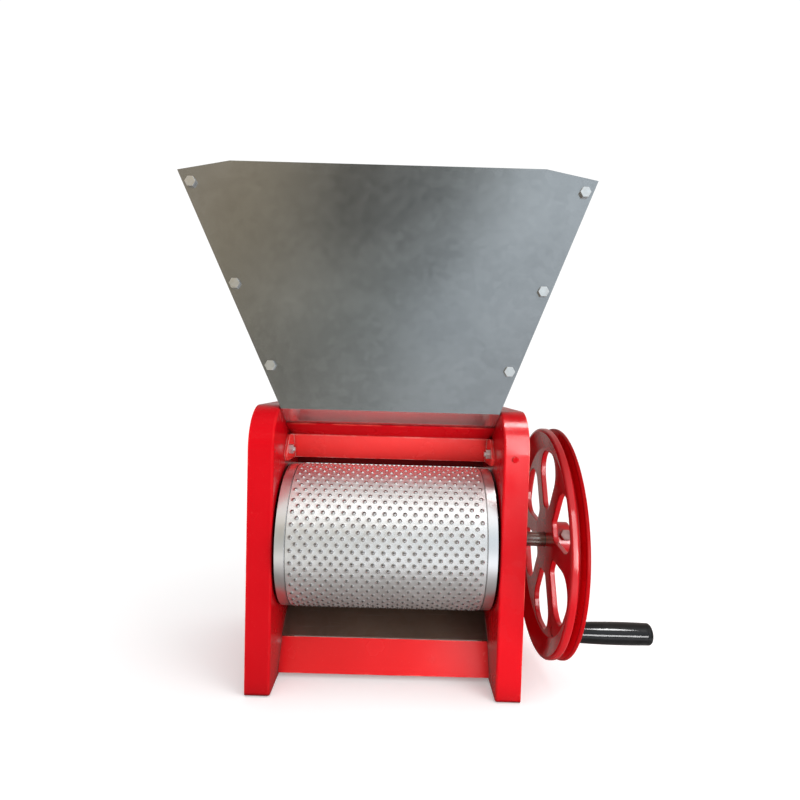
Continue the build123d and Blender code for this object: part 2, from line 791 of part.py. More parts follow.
def panel_outline(foot_drop):
    """Front view of a hopper end panel, in X and Z."""
    corner_z = hopper_foot_z + hopper_corner_rise
    crown_z = hopper_foot_z + hopper_crown_rise
    return (
        (-hopper_foot_half, hopper_foot_z - foot_drop),
        (-hopper_foot_half, hopper_foot_z),
        (edge_x(-1, hopper_corner_rise), corner_z),
        (hopper_rack - hopper_crown_half, crown_z),
        (hopper_rack + hopper_crown_half, crown_z),
        (edge_x(1, hopper_corner_rise), corner_z),
        (hopper_foot_half, hopper_foot_z),
        (hopper_foot_half, hopper_foot_z - foot_drop),
    )


def hopper_end_panel(front):
    """Front or rear panel: flat above the foot, with a lip down the feed slope."""
    top_rise = hopper_crown_rise
    top_y = hopper_front_y if front else rear_panel_y(top_rise)
    foot_y = hopper_front_y if front else hopper_rear_y
    lip = front_lip_length if front else rear_lip_length
    lip_end = toward(*feed_line(front), lip)
    line = ((top_y, hopper_foot_z + top_rise), (foot_y, hopper_foot_z), lip_end)
    thickness = -hopper_sheet if front else hopper_sheet
    reach = max(hopper_corner_half, hopper_foot_half) + abs(hopper_rack)
    panel = yz_prism(sheet_outline(line, thickness), -reach, reach)
    outline = xz_prism(panel_outline(lip + hopper_sheet), -frame_front - reach, frame_rear + reach)
    panel = panel & outline
    for place in hopper_bolt_places(front):
        panel -= place * drill(bolt_radius + bolt_hole_gap, hopper_sheet)
    return panel


def hopper_bolt_places(front):
    """Planes at the inner face of an end panel, Z pointing out of the hopper, one for each bolt."""
    lean = 0.0 if front else math.radians(hopper_rear_lean)
    outward = (0, -1, 0) if front else (0, math.cos(lean), -math.sin(lean))
    places = []
    for side in (-1, 1):
        for rise in hopper_bolt_rises:
            x = edge_x(side, rise) - side * hopper_bolt_inset
            y = hopper_front_y if front else rear_panel_y(rise)
            places.append(Plane(origin=(x, y, hopper_foot_z + rise), x_dir=(1, 0, 0), z_dir=outward))
    return places


def hopper_side_panel(side):
    """Slanted side panel with a flange at each end panel and a tab inside the web."""
    corner = (edge_x(side, hopper_corner_rise), hopper_foot_z + hopper_corner_rise)
    foot = (side * hopper_foot_half, hopper_foot_z)
    width = wall_width(side)
    reach = frame_front + frame_rear + hopper_crown_rise
    wall_points = (foot, corner, (corner[0] - side * width, corner[1]), (foot[0] - side * width, foot[1]))
    flange = hopper_flange
    flange_points = (foot, corner, (corner[0] - side * flange, corner[1]), (foot[0] - side * flange, foot[1]))
    top = hopper_corner_rise
    room = (
        (hopper_front_y, hopper_foot_z),
        (hopper_front_y, hopper_foot_z + top),
        (rear_panel_y(top), hopper_foot_z + top),
        (hopper_rear_y, hopper_foot_z),
    )
    front_strip = sheet_outline(room[0:2], -hopper_sheet)
    rear_strip = sheet_outline(room[2:4], -hopper_sheet)
    wall = xz_prism(wall_points, -reach, reach) & yz_prism(room, -reach, reach)
    flange_prism = xz_prism(flange_points, -reach, reach)
    panel = wall + (flange_prism & yz_prism(front_strip, -reach, reach))
    panel += flange_prism & yz_prism(rear_strip, -reach, reach)
    for place in hopper_bolt_places(True) + hopper_bolt_places(False):
        panel -= place * drill(bolt_radius + bolt_hole_gap, hopper_sheet)
    tab_points = (
        (hopper_tab_front_y, hopper_foot_z),
        (hopper_tab_rear_y, hopper_foot_z),
        (hopper_tab_rear_y, hopper_foot_z - hopper_tab_drop),
        (hopper_tab_front_y, hopper_foot_z - hopper_tab_drop),
    )
    tab = yz_prism(tab_points, hopper_foot_half - width, hopper_foot_half)
    for y in hopper_mount_ys:
        tab -= rod_x(bolt_radius + bolt_hole_gap, 0, flange_half, y, mount_z)
    return panel + on_side(tab, side)


def hopper_bolts():
    bolt = Pos(0, 0, hopper_sheet) * hex_bolt(2 * hopper_sheet + nut_height + bolt_tail)
    return [place * bolt for front in (True, False) for place in hopper_bolt_places(front)]


def hopper_nuts():
    nut = Pos(0, 0, -hopper_sheet) * hex_nut()
    return [place * nut for front in (True, False) for place in hopper_bolt_places(front)]


def hopper_mount_bolts():
    bolt = hex_bolt(frame_sheet + hopper_side_gap + hopper_sheet + nut_height + bolt_tail)
    return [across_web(bolt, side, y, mount_z, outer_half) for side in (-1, 1) for y in hopper_mount_ys]


def hopper_mount_nuts():
    nuts = []
    for side in (-1, 1):
        x = hopper_foot_half - wall_width(side)
        nuts += [across_web(hex_nut(), side, y, mount_z, x) for y in hopper_mount_ys]
    return nuts


def throat_plate(front):
    """Plate welded between the webs under a hopper lip, leading on towards the drum."""
    lip = front_lip_length if front else rear_lip_length
    line = (toward(*feed_line(front), lip - lip_overlap), feed_line(front)[1])
    turn = -1 if front else 1
    lip_under = sheet_outline(line, turn * hopper_sheet)
    line = (lip_under[3], lip_under[2])
    return yz_prism(sheet_outline(line, turn * throat_sheet), -inner_half, inner_half)


# Breast and its adjusting screws

def yz_sector(inner, outer, half_width):
    """Curved plate about the drum axis."""
    sweep = breast_top_angle - breast_foot_angle
    edge = CenterArc((0, 0), outer, breast_foot_angle, sweep)
    edge += Line(edge @ 1, Vector(edge @ 1) * (inner / outer))
    inner_arc = CenterArc((0, 0), inner, breast_foot_angle, sweep)
    edge += inner_arc
    edge += Line(inner_arc @ 0, Vector(inner_arc @ 0) * (outer / inner))
    plane = Plane(origin=(-half_width, 0, axis_height), x_dir=(0, 1, 0), z_dir=(1, 0, 0))
    return extrude(plane * make_face(edge), 2 * half_width, dir=(1, 0, 0))


def breast_pad():
    half = drum_half - breast_side_inset
    return yz_sector(pad_radius, pad_radius + breast_pad_thickness, half)


def breast_holder():
    half = drum_half - breast_side_inset
    holder = yz_sector(holder_radius, holder_outer_radius, half)
    for side in (-1, 1):
        boss = rod_y(boss_radius, 0, boss_end_y, side * adjuster_x, adjuster_z)
        boss -= rod_x(holder_radius, -half, half, 0, axis_height)
        holder += boss
    for side in (-1, 1):
        hole_radius = adjuster_radius + adjuster_thread_gap
        holder -= rod_y(hole_radius, boss_hole_floor_y, boss_end_y + cut_past, side * adjuster_x, adjuster_z)
    return holder


def adjuster_screw(side):
    head_y = cross_bar_rear_y + adjuster_play
    screw = rod_y(adjuster_radius, adjuster_tip_y, head_y, side * adjuster_x, adjuster_z)
    head = Rot(-90, 0, 0) * hexagon(adjuster_head_flats, adjuster_head)
    return screw + Pos(side * adjuster_x, head_y, adjuster_z) * head


def adjuster_collar(side):
    """Ring locked on the screw in front of the bar."""
    ring = rod_y(collar_radius, collar_y, collar_y + collar_thickness, side * adjuster_x, adjuster_z)
    return ring - rod_y(adjuster_radius + nut_thread_gap, 0, frame_rear, side * adjuster_x, adjuster_z)


pieces = {
    "left_side_plate": side_plate(-1),
    "right_side_plate": side_plate(1),
    "post_rivet": post_rivet(),
    "upper_front_bar": upper_front_bar(),
    "lower_front_plate": lower_front_plate(),
    "lower_rear_plate": lower_rear_plate(),
    "chute_sheet": chute_sheet(),
    "rear_cross_bar": rear_cross_bar(),
    "throat_front_plate": throat_plate(True),
    "throat_rear_plate": throat_plate(False),
    "frame_bolts": Compound(frame_bolts()),
    "frame_nuts": Compound(frame_nuts()),
    "left_bearing_housing": bearing_housing(-1),
    "right_bearing_housing": bearing_housing(1),
    "left_bearing_bush": bearing_bush(-1),
    "right_bearing_bush": bearing_bush(1),
    "bearing_screws": Compound(bearing_screws()),
    "bearing_nuts": Compound(bearing_nuts()),
    "hopper_front_panel": hopper_end_panel(True),
    "hopper_rear_panel": hopper_end_panel(False),
    "hopper_left_panel": hopper_side_panel(-1),
    "hopper_right_panel": hopper_side_panel(1),
    "hopper_bolts": Compound(hopper_bolts()),
    "hopper_nuts": Compound(hopper_nuts()),
    "hopper_mount_bolts": Compound(hopper_mount_bolts()),
    "hopper_mount_nuts": Compound(hopper_mount_nuts()),
    "drum_sheet": drum_sheet(),
    "drum_left_end": drum_end(-1),
    "drum_right_end": drum_end(1),
    "drum_shaft": drum_shaft(),
    "drum_set_screws": Compound(drum_set_screws()),
    "hand_wheel": hand_wheel(),
    "wheel_set_screw": wheel_set_screw(),
    "crank_pin": crank_pin(),
    "crank_nut": crank_nut(),
    "handle_grip": handle_grip(),
    "grip_cap": grip_cap(),
    "breast_holder": breast_holder(),
    "breast_pad": breast_pad(),
    "left_adjuster_screw": adjuster_screw(-1),
    "right_adjuster_screw": adjuster_screw(1),
    "left_adjuster_collar": adjuster_collar(-1),
    "right_adjuster_collar": adjuster_collar(1),
}

# The origin goes under the middle of the whole machine, on the floor.
boxes = [piece.bounding_box() for piece in pieces.values()]
middle_x = (min(box.min.X for box in boxes) + max(box.max.X for box in boxes)) / 2
middle_y = (min(box.min.Y for box in boxes) + max(box.max.Y for box in boxes)) / 2
print("machine centre to origin:", -middle_x, -middle_y)

os.makedirs("parts", exist_ok=True)
for name, piece in pieces.items():
    export_step(Pos(-middle_x, -middle_y, 0) * piece, f"parts/{name}.step")
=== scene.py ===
import json
import math
import bmesh
import bpy
from mathutils import Matrix, Vector

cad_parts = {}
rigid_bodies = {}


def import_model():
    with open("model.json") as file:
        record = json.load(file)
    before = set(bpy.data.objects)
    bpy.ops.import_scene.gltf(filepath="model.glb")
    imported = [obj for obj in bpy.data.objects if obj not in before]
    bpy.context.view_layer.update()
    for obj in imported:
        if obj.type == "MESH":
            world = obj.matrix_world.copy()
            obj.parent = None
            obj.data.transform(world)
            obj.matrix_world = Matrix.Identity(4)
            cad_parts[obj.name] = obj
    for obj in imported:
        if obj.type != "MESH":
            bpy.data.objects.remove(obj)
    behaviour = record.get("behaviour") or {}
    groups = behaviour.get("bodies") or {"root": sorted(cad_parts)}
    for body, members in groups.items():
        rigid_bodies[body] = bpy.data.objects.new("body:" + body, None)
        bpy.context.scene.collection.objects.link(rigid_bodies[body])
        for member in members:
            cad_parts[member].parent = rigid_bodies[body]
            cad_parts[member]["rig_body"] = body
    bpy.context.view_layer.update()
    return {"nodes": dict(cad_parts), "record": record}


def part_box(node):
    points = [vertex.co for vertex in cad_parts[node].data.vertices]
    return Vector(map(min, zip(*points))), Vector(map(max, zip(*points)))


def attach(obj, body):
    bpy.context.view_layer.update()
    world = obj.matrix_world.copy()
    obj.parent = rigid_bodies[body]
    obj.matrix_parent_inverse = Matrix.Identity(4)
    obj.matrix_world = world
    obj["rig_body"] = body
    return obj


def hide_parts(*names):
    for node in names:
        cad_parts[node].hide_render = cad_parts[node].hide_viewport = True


# Looks of a hand-cranked coffee pulper. Lengths in this script are in metres, as in the frame, or in
# millimetres where a comment says so.
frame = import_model()
nodes = frame["nodes"]
slot_of = {part["node"]: part["material_slot"] for part in frame["record"]["subparts"]}
scene = bpy.context.scene
scene.view_settings.view_transform = "Standard"
MM = 0.001

# Camera: place and aim follow the photo's view, from in front and a little above the drum; angles in radians
camera_place = (-0.0194, -0.66241, 0.329)
camera_turn = -0.001
camera_dip = 0.0444
camera_roll = 0.0275
camera_lens = 25.27
camera_sensor = 36.0
camera_shift = 0.0053

# Drum sheet: rows of punched bumps, each row half a pitch along from its neighbours
drum_low, drum_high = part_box("drum_sheet")
drum_axis_y = (drum_low.y + drum_high.y) / 2
drum_axis_z = (drum_low.z + drum_high.z) / 2
drum_radius = (drum_high.z - drum_low.z) / 2
drum_length = drum_high.x - drum_low.x
drum_wall = 1.2 * MM
bump_rows = 76
bumps_in_row = 19
# Steps of the sheet's grid in the cell of one bump, either way
cell_steps = 4
half_cell = cell_steps // 2
# Radius and height of the rings that make one bump, from its foot to near its tip, and the tip's height,
# in millimetres
bump_rings = ((2.6, 0.0), (2.3, 0.06), (1.95, 0.45), (1.5, 0.94), (0.95, 1.32), (0.45, 1.49))
bump_tip = 1.54
# Each bump has a hollow on its leading side: its distance from the tip, its radius, its soft border and
# its depth, in millimetres
hollow_shift = 0.8
hollow_radius = 1.0
hollow_border = 0.65
hollow_depth = 0.3

# Hand wheel casting, in millimetres from its inner face and its axis
wheel_low, wheel_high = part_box("hand_wheel")
wheel_radius = (wheel_high.z - wheel_low.z) / 2 / MM
wheel_steps = 160
arc_steps = 4
window_steps = 10
inner_flange = 7.7
outer_flange = 4.2
groove_width = 6.7
groove_floor = 2.3
groove_depth = 10.0
rim_lip = 3.5
rim_inner_radius = 112.5
rim_foot_radius = 104.0
disc_inset = 7.6
disc_thickness = 6.0
hub_radius = 20.0
hub_end = (wheel_high.x - wheel_low.x) / MM
bore_radius = 8.02
spoke_count = 6
spoke_width = 20.5
first_window = math.radians(27.3)
window_hub_web = 17.0
window_rim_web = 4.0
window_hub_round = 8.0
window_rim_round = 22.0
window_edge = 1.2
pin_hole_radius = 5.1
pin_hole_steps = 32
# How far the rim's and the hub's turned shapes reach on to the flat of the disc
disc_overlap = 2.0
# Rounding of the casting's corners, from the rim's foot round the flanges and back, then over the hub
rim_foot_round = 4.0
rim_lip_round = 1.5
inner_flange_round = 2.2
groove_round = 0.9
groove_mouth_round = 1.6
outer_flange_round = 1.4
rim_edge_round = 1.6
rim_corner_round = 2.0
hub_foot_round = 3.0
hub_edge_round = 1.5
bore_round = 0.8
# Where the outer flange's darker red, painted shade, and the groove's brighter red, painted light, begin and
# how far down they reach
flange_shade_start = inner_flange + groove_width - 1.0
flange_shade_reach = wheel_radius - 2.5
groove_light_start = inner_flange + 0.5
groove_light_end = inner_flange + groove_width
groove_light_reach = wheel_radius - groove_depth - 1.0

# Copies of the CAD meshes: vertices this near are one, edges this flat go, and edges this sharp are rounded
merge_distance = 0.002 * MM
flat_angle = math.radians(0.5)
sharp_angle = math.radians(30)
# Edges sharper than this stay sharp in the shading
copy_crease = math.radians(40)
drum_crease = math.radians(70)
wheel_crease = math.radians(50)

# How far the sharp edges of each node are rounded, in millimetres
edge_rounds = {
    "left_side_plate": 0.6, "right_side_plate": 0.6, "upper_front_bar": 0.5, "lower_front_plate": 0.5,
    "lower_rear_plate": 0.5, "rear_cross_bar": 0.5, "throat_front_plate": 0.4, "throat_rear_plate": 0.4,
    "hopper_front_panel": 0.3, "hopper_rear_panel": 0.3, "hopper_left_panel": 0.3, "hopper_right_panel": 0.3,
    "chute_sheet": 0.3, "drum_left_end": 0.5, "drum_right_end": 0.5,
    "left_bearing_housing": 1.2, "right_bearing_housing": 1.2,
    "left_bearing_bush": 0.4, "right_bearing_bush": 0.4,
    "frame_bolts": 0.45, "frame_nuts": 0.45, "bearing_screws": 0.4, "bearing_nuts": 0.45,
    "hopper_bolts": 0.45, "hopper_nuts": 0.45, "hopper_mount_bolts": 0.45, "hopper_mount_nuts": 0.45,
    "wheel_set_screw": 0.5, "crank_nut": 0.6,
    "left_adjuster_screw": 0.5, "right_adjuster_screw": 0.5,
    "left_adjuster_collar": 0.5, "right_adjuster_collar": 0.5,
    "breast_holder": 0.4, "breast_pad": 0.6, "handle_grip": 0.8,
}


# Shader nodes

def put(tree, socket, value):
    """Links a value that is a socket, and makes any other the socket's default."""
    if isinstance(value, bpy.types.NodeSocket):
        tree.links.new(value, socket)
    else:
        socket.default_value = value


def add(tree, kind, values=None, **options):
    """A shader node with values for its inputs."""
    made = tree.nodes.new("ShaderNode" + kind)
    for name, value in options.items():
        setattr(made, name, value)
    for key, value in (values or {}).items():
        put(tree, made.inputs[key], value)
    return made


def start_material(name):
    made = bpy.data.materials.new(name)
    made.use_nodes = True
    tree = made.node_tree
    return made, tree, tree.nodes["Principled BSDF"]


def set_shader(tree, shader, values):
    for key, value in values.items():
        put(tree, shader.inputs[key], value)


def place(tree, stretch=None):
    """Coordinates fixed to the piece, in metres; stretch multiplies them per axis."""
    spot = add(tree, "TexCoord").outputs["Object"]
    if stretch is None:
        return spot
    return add(tree, "Mapping", {"Vector": spot, "Scale": stretch}).outputs["Vector"]


def noise(tree, spot, scale=1.0, detail=3.0, rough=0.5, bend=0.0):
    values = {"Vector": spot, "Scale": scale, "Detail": detail, "Roughness": rough, "Distortion": bend}
    return add(tree, "TexNoise", values).outputs["Fac"]


def ramp(tree, amount, stops):
    """Colours along a 0 to 1 amount; a stop is (position, grey) or (position, (r, g, b))."""
    made = add(tree, "ValToRGB", {"Fac": amount})
    elements = made.color_ramp.elements
    while len(elements) < len(stops):
        elements.new(0.5)
    for element, (position, tone) in zip(elements, stops):
        element.position = position
        element.color = (*tone, 1.0) if isinstance(tone, tuple) else (tone, tone, tone, 1.0)
    return made.outputs["Color"]


def span(tree, amount, source, target=(0.0, 1.0)):
    """An amount taken from its source range to the target range, and held within that."""
    values = {"Value": amount, "From Min": source[0], "From Max": source[1],
              "To Min": target[0], "To Max": target[1]}
    return add(tree, "MapRange", values, clamp=True).outputs["Result"]


def blend(tree, amount, first, second, kind="MIX"):
    """Mix of two colours. In this node, input 0 is the amount, inputs 6 and 7 are the colours, and output 2
    is the mixed colour."""
    made = add(tree, "Mix", data_type="RGBA", blend_type=kind, clamp_factor=True)
    put(tree, made.inputs[0], amount)
    for index, tone in ((6, first), (7, second)):
        put(tree, made.inputs[index], (*tone, 1.0) if isinstance(tone, tuple) else tone)
    return made.outputs[2]


def figure(tree, operation, first, second=0.0):
    return add(tree, "Math", {0: first, 1: second}, operation=operation).outputs[0]


def bump(tree, height, strength, distance, under=None):
    values = {"Height": height, "Strength": strength, "Distance": distance}
    if under is not None:
        values["Normal"] = under
    return add(tree, "Bump", values).outputs["Normal"]


def edges(tree, radius):
    """1 along sharp outer edges, 0 on flat faces."""
    soft = add(tree, "Bevel", {"Radius": radius}, samples=4).outputs["Normal"]
    flat = add(tree, "NewGeometry").outputs["Normal"]
    same = add(tree, "VectorMath", {0: soft, 1: flat}, operation="DOT_PRODUCT").outputs["Value"]
    return span(tree, same, (0.995, 0.85))


def corners(tree, reach):
    """1 deep in corners and narrow gaps, 0 in the open."""
    clear = add(tree, "AmbientOcclusion", {"Distance": reach}, samples=6).outputs["AO"]
    return span(tree, clear, (0.72, 0.12))


def axis_of(tree, spot, name):
    return add(tree, "SeparateXYZ", {"Vector": spot}).outputs[name]


# Materials

# Most values of a noise lie in this range
noise_range = (0.3, 0.7)
# Tones of painted shade, of soiling and of fresh metal, and how much of them shows where they are strongest
painted_corner_shade = (0.04, 0.003, 0.003)
painted_corner_shade_share = 0.9
dust_share = 0.18
fresh_zinc = (0.5, 0.5, 0.5)
scratch_share = 0.10
flank_painted_shade = (0.24, 0.21, 0.19)
flank_painted_shade_share = 0.3
hollow_painted_shade = (0.10, 0.09, 0.085)
hollow_painted_shade_share = 0.86
seam_dirt = (0.05, 0.045, 0.04)
seam_dirt_share = 0.8
bright_edge_share = 0.45


def drift(tree, amount, dark, light):
    """Colour that goes from dark to light over a noise."""
    return ramp(tree, amount, ((noise_range[0], dark), (noise_range[1], light)))


def paint(name, deep, bright, pale_tone, gloss, peel, shine, shade_reach, highlight_and_wear=0.6):
    """Sprayed gloss paint: drift of tone, dust grain, orange peel, edges painted paler, painted shade in
    corners.

    The tone drifts from deep to bright, and edges and dust specks go towards the pale tone; the paler edges
    are a painted highlight, with the paint rubbed thin there. gloss is its roughness, peel the strength of
    the orange peel, shine its specular level; the next number is the reach of the painted corner shade, and
    the last how strongly edges are painted paler."""
    made, tree, shader = start_material(name)
    spot = place(tree)
    colour = drift(tree, noise(tree, spot, scale=9.0), deep, bright)
    patches = span(tree, noise(tree, spot, scale=60.0, detail=4.0), (0.42, 0.66))
    # Edges are painted paler: a painted highlight along them, with the paint rubbed thin there
    paler_edge = figure(tree, "MULTIPLY", edges(tree, 1.6 * MM), patches)
    colour = blend(tree, figure(tree, "MULTIPLY", paler_edge, highlight_and_wear), colour, pale_tone)
    dust = span(tree, noise(tree, spot, scale=700.0, detail=2.0), (0.68, 0.8), (0.0, dust_share))
    colour = blend(tree, dust, colour, pale_tone)
    # Painted shade: corners and narrow gaps are darkened towards a near-black red
    corner_shade = figure(tree, "MULTIPLY", corners(tree, shade_reach), painted_corner_shade_share)
    colour = blend(tree, corner_shade, colour, painted_corner_shade)
    rough = span(tree, noise(tree, spot, scale=35.0, detail=4.0), noise_range, (gloss - 0.06, gloss + 0.1))
    ripple = bump(tree, noise(tree, spot, scale=420.0, detail=2.0), strength=peel, distance=0.12 * MM)
    set_shader(tree, shader, {"Base Color": colour, "Roughness": rough, "Normal": ripple,
                              "Specular IOR Level": shine})
    return made


def galvanised(name, polish, tint, spangle):
    """Hot-dipped sheet: crystal flakes, cloudy stains, a few drawn scratches, and faces that look down
    painted paler as painted light.

    polish is how metallic it is, tint multiplies its tone, and spangle is the strength of the flakes."""
    made, tree, shader = start_material(name)
    spot = place(tree)
    flakes = add(tree, "TexVoronoi", {"Vector": spot, "Scale": 130.0, "Randomness": 1.0}).outputs["Color"]
    flake = axis_of(tree, flakes, "X")
    cloud = noise(tree, spot, scale=7.0, detail=5.0, rough=0.55, bend=0.6)
    dark, pale, underside_light = (tuple(share * part for part in tint) for share in (0.26, 0.36, 0.92))
    tone = drift(tree, cloud, dark, pale)
    tone = blend(tree, span(tree, flake, (0.0, 1.0), (0.0, spangle)), tone, fresh_zinc)
    # Painted light: faces that look down are painted paler, standing in for light reflected on to them
    facing = axis_of(tree, add(tree, "NewGeometry").outputs["Normal"], "Z")
    tone = blend(tree, span(tree, facing, (-0.5, -0.8)), tone, underside_light)
    drawn = noise(tree, place(tree, (14.0, 14.0, 420.0)), detail=2.0)
    tone = blend(tree, span(tree, drawn, (0.62, 0.8), (0.0, scratch_share)), tone, fresh_zinc)
    uneven = figure(tree, "ADD", cloud, figure(tree, "MULTIPLY", flake, 0.1))
    rough = span(tree, uneven, (0.35, 0.85), (0.17, 0.24))
    wavy = bump(tree, noise(tree, spot, scale=16.0, detail=2.0), strength=0.2, distance=0.5 * MM)
    grain = bump(tree, noise(tree, spot, scale=900.0), strength=0.04, distance=0.1 * MM, under=wavy)
    set_shader(tree, shader, {"Base Color": tone, "Metallic": polish, "Roughness": rough, "Normal": grain})
    return made


def drum_steel():
    """Bright punched sheet: painted shade on the flanks and in the hollow of each bump, tips polished by the
    beans, dirty seams at both ends."""
    made, tree, shader = start_material("drum_steel")
    spot = place(tree)
    lift = add(tree, "Attribute", attribute_name="lift").outputs["Fac"]
    hollow = add(tree, "Attribute", attribute_name="hollow").outputs["Fac"]
    cloud = noise(tree, spot, scale=26.0, detail=4.0)
    tone = drift(tree, cloud, (0.84, 0.83, 0.825), (0.96, 0.955, 0.955))
    # Painted shade: the flanks of each bump and its hollow are darkened
    flank = figure(tree, "MULTIPLY", span(tree, lift, (0.0, 0.1)), span(tree, lift, (0.9, 0.65)))
    tone = blend(tree, figure(tree, "MULTIPLY", flank, flank_painted_shade_share), tone, flank_painted_shade)
    tone = blend(tree, figure(tree, "MULTIPLY", hollow, hollow_painted_shade_share), tone, hollow_painted_shade)
    from_middle = figure(tree, "SUBTRACT", axis_of(tree, spot, "X"), (drum_low.x + drum_high.x) / 2)
    end = drum_length / 2
    from_middle = figure(tree, "ABSOLUTE", from_middle)
    seam = span(tree, from_middle, (end - 0.9 * MM, end - 0.4 * MM), (0.0, seam_dirt_share))
    tone = blend(tree, seam, tone, seam_dirt)
    rough = span(tree, noise(tree, spot, scale=120.0), noise_range, (0.42, 0.52))
    polish = span(tree, lift, (0.3, 0.8), (0.0, 0.24))
    rough = figure(tree, "SUBTRACT", rough, polish)
    drawn = noise(tree, place(tree, (60.0, 600.0, 600.0)), detail=2.0)
    grain = bump(tree, drawn, strength=0.06, distance=0.1 * MM)
    set_shader(tree, shader, {"Base Color": tone, "Metallic": 0.96, "Roughness": rough, "Normal": grain})
    return made


def turned_aluminium():
    """Turned casting: fine rings round the drum axis."""
    made, tree, shader = start_material("drum_casting")
    spot = place(tree)
    cloud = noise(tree, spot, scale=30.0, detail=4.0)
    tone = drift(tree, cloud, (0.86, 0.85, 0.86), (0.95, 0.94, 0.95))
    rough = span(tree, cloud, noise_range, (0.3, 0.42))
    rings = noise(tree, place(tree, (1800.0, 18.0, 18.0)), detail=2.0)
    groove = bump(tree, rings, strength=0.16, distance=0.1 * MM)
    set_shader(tree, shader, {"Base Color": tone, "Metallic": 1.0, "Roughness": rough, "Normal": groove})
    return made


def metal(name, dark, light, roughness, clouds, grain, relief):
    """Bare metal with cloudy tone, uneven polish, brighter edges and a fine surface grain.

    clouds and grain are the scales of its clouds and of its grain, and relief is the grain's strength."""
    made, tree, shader = start_material(name)
    spot = place(tree)
    tone = ramp(tree, noise(tree, spot, scale=clouds, detail=5.0, rough=0.6), ((0.28, dark), (0.72, light)))
    paler_edge = figure(tree, "MULTIPLY", edges(tree, 0.8 * MM), bright_edge_share)
    tone = blend(tree, paler_edge, tone, tuple(min(1.0, 1.5 * part) for part in light))
    rough = span(tree, noise(tree, spot, scale=3.0 * clouds), noise_range, roughness)
    skin = bump(tree, noise(tree, spot, scale=grain, detail=4.0), strength=relief, distance=0.2 * MM)
    set_shader(tree, shader, {"Base Color": tone, "Metallic": 1.0, "Roughness": rough, "Normal": skin})
    return made


def moulded(name, dark, light, roughness, clouds, relief, shine):
    """Moulded plastic or rubber: faint clouding, uneven gloss and a pored skin.

    clouds is the scale of its clouds, relief the strength of its pores and shine its specular level."""
    made, tree, shader = start_material(name)
    spot = place(tree)
    tone = drift(tree, noise(tree, spot, scale=clouds, detail=4.0), dark, light)
    rough = span(tree, noise(tree, spot, scale=4.0 * clouds), noise_range, roughness)
    skin = bump(tree, noise(tree, spot, scale=500.0), strength=relief, distance=0.1 * MM)
    set_shader(tree, shader, {"Base Color": tone, "Roughness": rough, "Normal": skin,
                              "Specular IOR Level": shine})
    return made


# One finish for each material slot of the record
finishes = {
    "red_paint": paint(
        "red_paint", deep=(0.48, 0.001, 0.005), bright=(0.55, 0.002, 0.007), pale_tone=(0.90, 0.14, 0.10),
        gloss=0.22, peel=0.10, shine=0.08, shade_reach=40 * MM, highlight_and_wear=1.2),
    "wheel_paint": paint(
        "wheel_paint", deep=(0.31, 0.001, 0.003), bright=(0.39, 0.001, 0.005), pale_tone=(0.66, 0.05, 0.05),
        gloss=0.16, peel=0.06, shine=0.4, shade_reach=3 * MM),
    "galvanised_sheet": galvanised("galvanised_sheet", polish=0.94, tint=(1.0, 1.0, 1.0), spangle=0.16),
    "drum_steel": drum_steel(),
    "drum_casting": turned_aluminium(),
    "shaft_steel": metal(
        "shaft_steel", dark=(0.32, 0.27, 0.24), light=(0.42, 0.37, 0.33), roughness=(0.16, 0.28),
        clouds=45.0, grain=500.0, relief=0.05),
    "housing_iron": metal(
        "housing_iron", dark=(0.10, 0.10, 0.10), light=(0.24, 0.235, 0.23), roughness=(0.45, 0.65),
        clouds=40.0, grain=450.0, relief=0.5),
    "bush_bronze": metal(
        "bush_bronze", dark=(0.42, 0.26, 0.10), light=(0.66, 0.45, 0.2), roughness=(0.25, 0.42),
        clouds=60.0, grain=500.0, relief=0.1),
    "zinc_hardware": metal(
        "zinc_hardware", dark=(0.68, 0.67, 0.65), light=(0.86, 0.85, 0.83), roughness=(0.28, 0.42),
        clouds=90.0, grain=700.0, relief=0.1),
    "breast_steel": metal(
        "breast_steel", dark=(0.20, 0.20, 0.20), light=(0.36, 0.355, 0.35), roughness=(0.34, 0.5),
        clouds=25.0, grain=600.0, relief=0.12),
    "breast_rubber": moulded(
        "breast_rubber", dark=(0.014, 0.014, 0.014), light=(0.032, 0.031, 0.030), roughness=(0.55, 0.75),
        clouds=50.0, relief=0.3, shine=0.4),
    "black_grip": moulded(
        "black_grip", dark=(0.004, 0.004, 0.004), light=(0.010, 0.010, 0.010), roughness=(0.08, 0.16),
        clouds=60.0, relief=0.05, shine=0.25),
}


